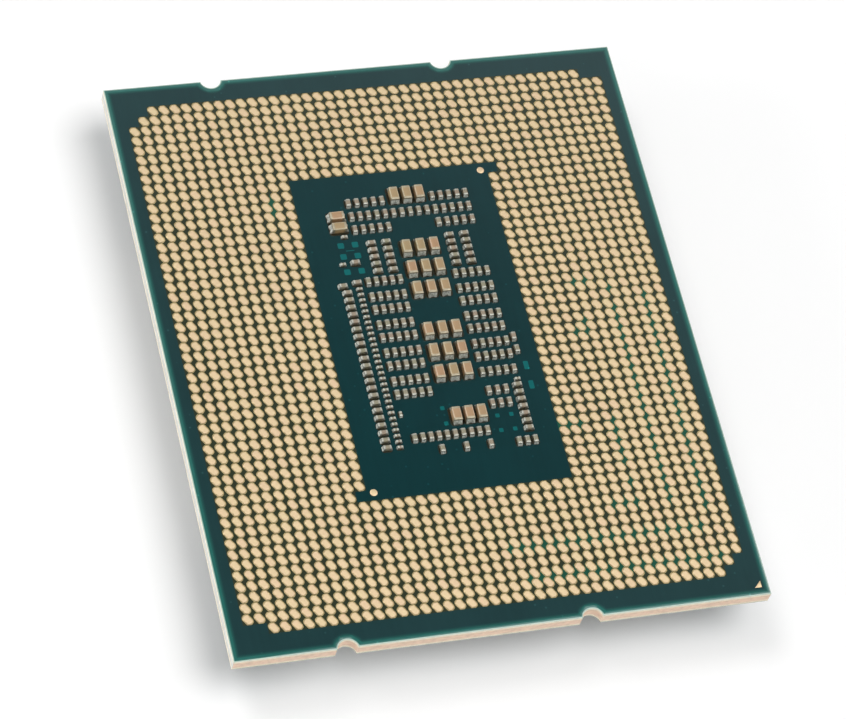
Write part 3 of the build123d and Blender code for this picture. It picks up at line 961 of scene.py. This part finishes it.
def solder_foot(bm, side, extent, reach, climb):
    """The fillet of solder from the end face down to the board, where it ends in a low toe
    and is a little narrower than the chip."""
    length, width, height = extent
    inner, outer = side * (length / 2 - reach * FOOT_UNDER), side * (length / 2 + reach)
    half = width * FOOT_HALF
    low = (min(inner, outer), -half, 0)
    faces = block(bm, low, (max(inner, outer), half, height * climb), SLOT_SOLDER)
    for vert in {vert for face in faces for vert in face.verts}:
        if abs(vert.co.x - outer) < WELD and vert.co.z > WELD:
            vert.co.z = height * FOOT_TOE


def lumped_feet(bm, extent, reach):
    """A large chip's two fillets, each drawn back in the middle of the pad, standing in a
    lump at each corner of it and sagging a little. They come first in their mesh."""
    length, width, height = extent
    for side in (-1, 1):
        solder_foot(bm, side, extent, reach, LARGE_CLIMB)
    slopes = [e for e in edges_along(bm.faces, 0) if all(v.co.z > WELD for v in e.verts)]
    middle = bmesh.ops.subdivide_edges(bm, edges=slopes, cuts=1)["geom_inner"]
    for vert in only(bmesh.types.BMVert, middle):
        vert.co.x -= math.copysign(reach * FOOT_SAG, vert.co.x)
        vert.co.z -= height * LARGE_CLIMB * FOOT_SAG
    bmesh.ops.subdivide_edges(bm, edges=edges_along(bm.faces, 1), cuts=4, use_grid_fill=True)
    for vert in bm.verts:
        if abs(vert.co.x) > length / 2 + reach - WELD:
            corner = abs(vert.co.y) > width * LUMP_FROM
            out = reach * (LUMP_OUT if corner else -DRAWN_BACK)
            vert.co.x += math.copysign(1, vert.co.x) * out
            if corner and vert.co.z > WELD:
                vert.co.z += height * LUMP_UP


def shade_film(bm, length, width, segments):
    """The dark film that a chip stands in: painted shade round its foot and between it and its
    neighbours.
    """
    film = block(bm, (-length / 2, -width / 2, 0), (length / 2, width / 2, SHADE_FILM), SLOT_SHADE_FILM)
    round_edges(bm, edges_along(film, 2), width * SHADE_FILM_ROUNDING, segments)


def small_chip(extent, chips):
    """One small chip with its ceramic, end bands and solder, its length along X. Its shape
    follows from its size alone."""
    length, width, height = extent
    length *= SMALL_BODY
    band = length * (SMALL_BAND if length > TINY_LENGTH else TINY_BAND)
    reach = length * SMALL_REACH
    bm = bmesh.new()
    inside = (
        length - 2 * band * (1 - SMALL_OVERLAP), width * SMALL_INSET[0], height * SMALL_INSET[1]
    )
    ceramic_body(bm, inside, width * SMALL_EDGE, 1)
    extent = length, width, height
    for side in (-1, 1):
        end_band(bm, side, extent, band, width * SMALL_BAND_EDGE, width * SMALL_RIM, (1, 2))
        solder_foot(bm, side, extent, reach, SMALL_CLIMB)
    shade_film(bm, length + SMALL_SHADE_FILM[0] * reach, width * SMALL_SHADE_FILM[1], 1)
    return bm


def large_extent(extent):
    """Length, width and height of a large chip's body without its solder."""
    return extent[0] * LARGE_BODY, extent[1] * LARGE_BULGE, extent[2]


def large_ceramic(extent, chips):
    """The ceramic of a large chip, its length along X, a little inside its end bands."""
    length, width, height = large_extent(extent)
    inside = (
        length - 2 * chips.band * (1 - LARGE_OVERLAP),
        width - LARGE_INSET[0], height - LARGE_INSET[1],
    )
    bm = bmesh.new()
    ceramic_body(bm, inside, chips.edge, 2)
    return bm


def large_ends(extent, chips):
    """Both end bands, the solder feet and the dark film of painted shade of a large chip, its
    length along X.
    """
    extent = large_extent(extent)
    bm = bmesh.new()
    lumped_feet(bm, extent, chips.fillet)
    for side in (-1, 1):
        end_band(bm, side, extent, chips.band, chips.edge, chips.rim, (2, 2))
    shade_film(bm, extent[0] + LARGE_SHADE_FILM[0] * chips.fillet, extent[1] * LARGE_SHADE_FILM[1], 3)
    return bm


def chip_group(name, node, found, maker, chips, finishes, seed):
    """Every chip of one CAD node, each with the middle and size found for it, turned as it is
    and in a tone of its own."""
    draw = random.Random(seed)
    extent = found[0][1]
    upright = extent.y > extent.x
    bm = maker((extent.y, extent.x, extent.z) if upright else tuple(extent), chips)
    if upright:
        quarter = Matrix.Rotation(math.pi / 2, 3, "Z")
        bmesh.ops.rotate(bm, cent=(0, 0, 0), matrix=quarter, verts=bm.verts)
    bmesh.ops.recalc_face_normals(bm, faces=bm.faces)
    offset = seat(node, upright)
    places = [Vector((middle.x, middle.y, 0)) + offset for middle, _ in found]
    tones = [draw.random() for _ in places]
    piece(name, stamp(as_mesh(bm, toned=True), places, tones), finishes, [node])


def paired_ends(caps):
    """Whole chips from their end caps: each cap joined to the one across from it."""
    chips = []
    left = list(caps)
    while left:
        middle, extent = left.pop(0)
        side = 0 if extent.x > extent.y else 1
        other = min(
            left, key=lambda item: (abs(item[0][side] - middle[side]), (item[0] - middle).length)
        )
        left.remove(other)
        apart = other[0] - middle
        whole = extent + Vector((abs(apart.x), abs(apart.y), 0))
        chips.append(((middle + other[0]) / 2, whole))
    return chips


# ------------------------------------------------------------------ operators
class PROCESSOR_OT_solder_mask(bpy.types.Operator):
    """Build the land-side solder mask with a well for every land"""

    bl_idname = "processor.solder_mask"
    bl_label = "Land-side solder mask"
    bl_options = {"REGISTER", "UNDO"}

    def execute(self, context):
        board = context.scene.processor_board
        finishes = [
            shared(solder_mask, "mask_over_copper", board.mask),
            shared(solder_mask, "mask_over_hatching", board.mask_margin, board.mask_edge),
            shared(solder_mask, "mask_between_lands", board.mask_between),
            shared(solder_mask, "mask_at_rim", board.mask_edge, None, board.lip_highlight),
            shared(plain_finish, "bare_dielectric"),
            shared(solder_mask, "mask_over_gaps", board.mask_bare),
        ]
        bm = build_mask(context.scene.processor_contacts, board)
        piece("land_side_mask_with_wells", bm, finishes, ["land_side_solder_mask"])
        return {"FINISHED"}


class PROCESSOR_OT_contact_lands(bpy.types.Operator):
    """Build the plated contact lands in their four fields"""

    bl_idname = "processor.contact_lands"
    bl_label = "Contact lands"
    bl_options = {"REGISTER", "UNDO"}

    def execute(self, context):
        contacts = context.scene.processor_contacts
        gold = shared(hard_gold, "hard_gold", contacts.gold)
        for field, middles in land_sites().items():
            bm = bmesh.new()
            stamp_lands(bm, land_template, contacts, middles)
            piece(f"plated_lands_{field}", bm, [gold], [f"contact_lands_{field}"])
        return {"FINISHED"}


class PROCESSOR_OT_plated_marks(bpy.types.Operator):
    """Build the fiducial pads and the triangles at contact one"""

    bl_idname = "processor.plated_marks"
    bl_label = "Plated marks"
    bl_options = {"REGISTER", "UNDO"}

    def execute(self, context):
        # The marks' gold is the lands' gold made a little darker: painted shade that holds down the
        # stronger reflection of their flat tops.
        gold = shared(hard_gold, "flat_gold", shade(context.scene.processor_contacts.gold, 0.95))
        pads = islands("fiducial_pads")
        width, _, plating = pads[0][1]
        radius = width * FIDUCIAL_RADIUS
        bm = bmesh.new()
        for middle, _ in pads:
            made = bmesh.ops.create_circle(
                bm, cap_ends=True, segments=FIDUCIAL_SIDES, radius=radius
            )
            place = (middle.x, middle.y, LAND_PLANE_Z)
            bmesh.ops.translate(bm, vec=place, verts=made["verts"])
        discs = list(bm.faces)
        grown = bmesh.ops.extrude_face_region(bm, geom=discs, use_keep_orig=True)["geom"]
        shift(bm, grown, plating)
        bmesh.ops.recalc_face_normals(bm, faces=bm.faces)
        raised = [f for f in bm.faces if f.calc_center_median().z > LAND_PLANE_Z + WELD]
        tops = [f for f in raised if f.normal.z > FACE_UP]
        round_edges(bm, edges_of(tops), plating * FIDUCIAL_ROUNDING)
        piece("round_fiducial_pads", bm, [gold], ["fiducial_pads"])
        rounded_piece(
            "contact_one_triangles", "contact_one_marker", plating * TRIANGLE_ROUNDING,
            gold,
        )
        return {"FINISHED"}


class PROCESSOR_OT_mask_clearings(bpy.types.Operator):
    """Build the marks that show through the mask where the copper is left out"""

    bl_idname = "processor.mask_clearings"
    bl_label = "Marks under the mask"
    bl_options = {"REGISTER", "UNDO"}

    def execute(self, context):
        bm = bmesh.new()
        for x, y, width, length in SQUARES + OBLONGS + DOTS + TRACE:
            half = Vector((width * MM, length * MM, CLEARING_HEIGHT)) / 2
            middle = Vector((x * MM, y * MM, LAND_PLANE_Z + half.z))
            faces = block(bm, middle - half, middle + half, 0)
            round_edges(bm, edges_along(faces, 2), min(half.x, half.y) * CLEARING_ROUNDING, 3)
        clear = shared(solder_mask, "mask_over_laminate", context.scene.processor_board.mask_clear)
        piece("mask_clearings", bm, [clear])
        return {"FINISHED"}


class PROCESSOR_OT_large_capacitors(bpy.types.Operator):
    """Build the large capacitors: ceramic bodies, end bands and solder feet"""

    bl_idname = "processor.large_capacitors"
    bl_label = "Large capacitors"
    bl_options = {"REGISTER", "UNDO"}

    def execute(self, context):
        chips = context.scene.processor_chips
        finishes = [
            shared(fired_ceramic, "tumbled_ceramic", chips.ceramic),
            shared(fired_ceramic, "worn_ceramic_edge", chips.worn),
            shared(plain_finish, "matte_tin", chips.tin),
            shared(plain_finish, "dull_solder", chips.dull_solder, "frosted_solder"),
            shared(plain_finish, "dried_flux", chips.flux),
        ]
        for seed, bank in enumerate(LARGE_BANKS):
            body, caps = f"large_capacitors_{bank}", f"large_capacitor_end_caps_{bank}"
            found = paired_ends(islands(caps))
            for name, node, maker, slot in (
                ("large_ceramics", body, large_ceramic, "capacitor_ceramic"),
                ("large_end_bands", caps, large_ends, "tin_plating"),
            ):
                chip_group(f"{name}_{bank}", node, found, maker, chips, finishes, seed)
        return {"FINISHED"}


class PROCESSOR_OT_small_capacitors(bpy.types.Operator):
    """Build the small and tiny capacitors, bank by bank"""

    bl_idname = "processor.small_capacitors"
    bl_label = "Small capacitors"
    bl_options = {"REGISTER", "UNDO"}

    def execute(self, context):
        chips = context.scene.processor_chips
        ceramics = [
            shared(fired_ceramic, "small_chip_ceramic", chips.small_ceramic),
            # The small chips' rounded top edges get a lighter copy of their ceramic: a painted
            # highlight.
            shared(fired_ceramic, "small_chip_edge", shade(chips.small_ceramic, 1.2)),
        ]
        solders = [
            shared(plain_finish, "frosted_solder", chips.solder),
            shared(plain_finish, "dried_flux", chips.flux),
        ]
        tins = {
            size_class: shared(plain_finish, f"{size_class}_chip_tin", tone, "matte_tin")
            for size_class, tone in (
                ("small", chips.small_tin), ("tiny", shade(chips.small_tin, 1.15)),
            )
        }
        for seed, node in enumerate(SMALL_NODES):
            finishes = ceramics + [tins[node.split("_")[0]]] + solders
            chip_group(
                f"{node}_soldered", node, islands(node), small_chip, chips, finishes,
                seed,
            )
        return {"FINISHED"}


class PROCESSOR_OT_laminate(bpy.types.Operator):
    """Finish the board's layers and round the die-side mask's edge"""

    bl_idname = "processor.laminate"
    bl_label = "Board layers"
    bl_options = {"REGISTER", "UNDO"}

    def execute(self, context):
        board = context.scene.processor_board
        finish_nodes({
            "substrate_core": shared(routed_laminate, "routed_laminate", board.core),
            "land_side_buildup": shared(plain_finish, "cut_film", board.film),
            "die_side_buildup": shared(plain_finish, "cut_film", board.film),
            "land_side_copper_plane": shared(plain_finish, "etched_copper"),
            "die_side_copper_plane": shared(plain_finish, "etched_copper"),
        })
        bm = merged_copy("die_side_solder_mask")
        lower = [e for e in sharp_edges(bm) if all(v.co.z < DIE_SIDE_Z + WELD for v in e.verts)]
        round_edges(bm, lower, board.edge)
        mask = shared(solder_mask, "die_side_mask", board.mask_margin, board.mask_edge)
        piece("die_side_mask_sheet", bm, [mask], ["die_side_solder_mask"])
        return {"FINISHED"}


class PROCESSOR_OT_heat_spreader(bpy.types.Operator):
    """Round the stamped edges of the heat spreader and plate it"""

    bl_idname = "processor.heat_spreader"
    bl_label = "Heat spreader"
    bl_options = {"REGISTER", "UNDO"}

    def execute(self, context):
        lid = context.scene.processor_lid
        nickel = shared(electroless_nickel, "electroless_nickel", lid.nickel)
        rounded_piece("plated_heat_spreader", "heat_spreader", lid.edge, nickel)
        return {"FINISHED"}


class PROCESSOR_OT_die_and_seal(bpy.types.Operator):
    """Finish the die, its solder and underfill, and round the sealant bead"""

    bl_idname = "processor.die_and_seal"
    bl_label = "Die and sealant"
    bl_options = {"REGISTER", "UNDO"}

    def execute(self, context):
        finish_nodes({
            "processor_die": shared(plain_finish, "polished_silicon"),
            "thermal_solder": shared(plain_finish, "reflowed_indium"),
            "die_underfill": shared(plain_finish, "filled_epoxy"),
        })
        silicone = shared(plain_finish, "filled_silicone")
        rounded_piece(
            "sealant_bead", "lid_sealant", SEALANT_ROUNDING, silicone
        )
        return {"FINISHED"}


# ------------------------------------------------------------------ stage
FLOOR_HALF = 1.5              # metres: half the floor's side
FLOOR_DROP = 0.01 * MM        # the floor lies this far under the lid
FLOOR_LIFT = 0.12             # glow that lifts the lit floor to white for the camera
LOOK_AT = (-0.98 * MM, -1.69 * MM, LAND_PLANE_Z)      # the point in the picture's middle
SENSOR_WIDTH = 36             # mm
NEAREST = 0.01                # metres: where the camera's sight begins
SOFT_FILL = 0.18              # strength of the room's light on everything
WHITE = (1, 1, 1, 1)
LIGHTS = {
    "key_light": {"heading": 112, "elevation": 66, "angle": 50, "strength": 1.9},
    "back_light": {"heading": -32, "elevation": 53, "angle": 28, "strength": 0.8},
    "side_fill": {"heading": 269, "elevation": 5, "angle": 30, "strength": 2.0},
    "front_fill": {"heading": 205, "elevation": 10, "angle": 30, "strength": 0.8},
}
# A black panel overhead, which the flat mask mirrors: the way to it, and the angles from its
# middle at which the black ends and the white begins.
PANEL = {"heading": 30.66, "elevation": 70, "dark": 10, "white": 22}
# The front of the room is dim: the way there, the cosine of the angle from it at which the
# room is dimmest, and how much of its light is taken away there.
FRONT = {"heading": 200, "elevation": 8, "within": 0.6, "taken": 0.92}


def direction(heading, elevation):
    """The way towards a heading, in degrees from +Y towards +X, and an elevation."""
    heading, elevation = math.radians(heading), math.radians(elevation)
    flat = math.cos(elevation)
    return Vector((flat * math.sin(heading), flat * math.cos(heading), math.sin(elevation)))


def sun(name, heading, elevation, angle, strength):
    """A soft sun: heading in degrees from +Y towards +X, elevation above the horizon."""
    lamp = bpy.data.lights.new(name, "SUN")
    lamp.energy = strength
    lamp.angle = math.radians(angle)
    made = bpy.data.objects.new(name, lamp)
    made.matrix_world = direction(heading, elevation).to_track_quat("Z", "Y").to_matrix().to_4x4()
    bpy.context.scene.collection.objects.link(made)


def fade_towards(room, way, panel, start, end, least):
    """One in most of the room, falling between two cosines of the angle from a panel."""
    ends = {0: way, 1: direction(panel["heading"], panel["elevation"])}
    toward = room.add("VectorMath", ends, operation="DOT_PRODUCT").outputs["Value"]
    ends = {0: toward, 1: start, 2: end, 3: 1.0, 4: least}
    return room.add("MapRange", ends, interpolation_type="SMOOTHSTEP").outputs[0]


def studio_world():
    """White walls that the camera and glossy surfaces see, black overhead and dim in front,
    and a soft fill for everything else."""
    world = bpy.data.worlds.new("studio")
    bpy.context.scene.world = world
    world.use_nodes = True
    room = Nodes(world.node_tree)
    way = room.add("TexCoord").outputs["Generated"]
    white, dark = (math.cos(math.radians(PANEL[key])) for key in ("white", "dark"))
    walls = fade_towards(room, way, PANEL, white, dark, 0.0)
    dim = fade_towards(room, way, FRONT, 0.0, FRONT["within"], 1 - FRONT["taken"])
    rays = room.add("LightPath").outputs
    direct = room.add("Math", {0: rays["Is Camera Ray"], 1: dim}, operation="MAXIMUM")
    shown = room.add("Math", {0: walls, 1: direct.outputs[0]}, operation="MULTIPLY")
    studio = room.add("Background", {"Color": WHITE, "Strength": shown.outputs[0]})
    fill = room.add("Math", {0: dim, 1: SOFT_FILL}, operation="MULTIPLY")
    soft = room.add("Background", {"Color": WHITE, "Strength": fill.outputs[0]})
    sides = {0: room.seen(rays), 1: soft.outputs[0], 2: studio.outputs[0]}
    room.add("OutputWorld", {"Surface": room.add("MixShader", sides).outputs[0]})


class PROCESSOR_OT_stage(bpy.types.Operator):
    """Set the floor, the light and the camera"""

    bl_idname = "processor.stage"
    bl_label = "Stage"
    bl_options = {"REGISTER", "UNDO"}

    def execute(self, context):
        scene = context.scene
        settings = scene.processor_stage
        scene.view_settings.view_transform = "Standard"
        bm = bmesh.new()
        square_cell(bm, FLOOR_HALF)
        mesh = as_mesh(bm)
        mesh.name = "floor"
        mesh.transform(Matrix.Translation((0, 0, -FLOOR_DROP)))
        mesh.materials.append(shared(seamless_floor, "seamless_floor", settings.floor))
        floor = bpy.data.objects.new("floor", mesh)
        scene.collection.objects.link(floor)
        for name, values in LIGHTS.items():
            sun(name, **values)
        studio_world()
        camera = bpy.data.objects.new("camera", bpy.data.cameras.new("camera"))
        camera.data.sensor_width = SENSOR_WIDTH
        camera.data.lens = settings.lens
        camera.data.clip_start = NEAREST
        aim = Matrix.Rotation(settings.azimuth, 4, "Z")
        tilt = Matrix.Rotation(math.pi / 2 - settings.elevation, 4, "X")
        roll = Matrix.Rotation(settings.roll, 4, "Z")
        back = Matrix.Translation((0, 0, settings.distance))
        camera.matrix_world = Matrix.Translation(LOOK_AT) @ aim @ tilt @ roll @ back
        scene.collection.objects.link(camera)
        scene.camera = camera
        return {"FINISHED"}


OPERATORS = (
    PROCESSOR_OT_stage,
    PROCESSOR_OT_solder_mask,
    PROCESSOR_OT_contact_lands,
    PROCESSOR_OT_plated_marks,
    PROCESSOR_OT_mask_clearings,
    PROCESSOR_OT_large_capacitors,
    PROCESSOR_OT_small_capacitors,
    PROCESSOR_OT_laminate,
    PROCESSOR_OT_heat_spreader,
    PROCESSOR_OT_die_and_seal,
)


class PROCESSOR_PT_panel(bpy.types.Panel):
    """Lists the processor's pieces and their settings."""

    bl_label = "Processor"
    bl_idname = "PROCESSOR_PT_panel"
    bl_space_type = "VIEW_3D"
    bl_region_type = "UI"
    bl_category = "Processor"

    def draw(self, context):
        for operator in OPERATORS:
            self.layout.operator(operator.bl_idname)
        for name, group in GROUPS.items():
            box = self.layout.box()
            box.label(text=group.__doc__)
            for key in group.__annotations__:
                box.prop(getattr(context.scene, name), key)


CLASSES = tuple(GROUPS.values()) + OPERATORS + (PROCESSOR_PT_panel,)


def register():
    """Registers the classes and hangs the settings on the scene."""
    for cls in CLASSES:
        bpy.utils.register_class(cls)
    for name, group in GROUPS.items():
        setattr(bpy.types.Scene, name, PointerProperty(type=group))


def unregister():
    """Takes the settings and the classes away again."""
    for name in GROUPS:
        delattr(bpy.types.Scene, name)
    for cls in reversed(CLASSES):
        bpy.utils.unregister_class(cls)


def clear_startup():
    """Takes away what Blender's startup file puts in the scene beside the frame."""
    kept = set(frame["nodes"].values()) | set(frame["bodies"].values())
    for extra in [item for item in bpy.data.objects if item not in kept]:
        bpy.data.objects.remove(extra)


def main():
    clear_startup()
    register()
    for operator in OPERATORS:
        group, name = operator.bl_idname.split(".")
        getattr(getattr(bpy.ops, group), name)()


if __name__ == "__main__":
    main()
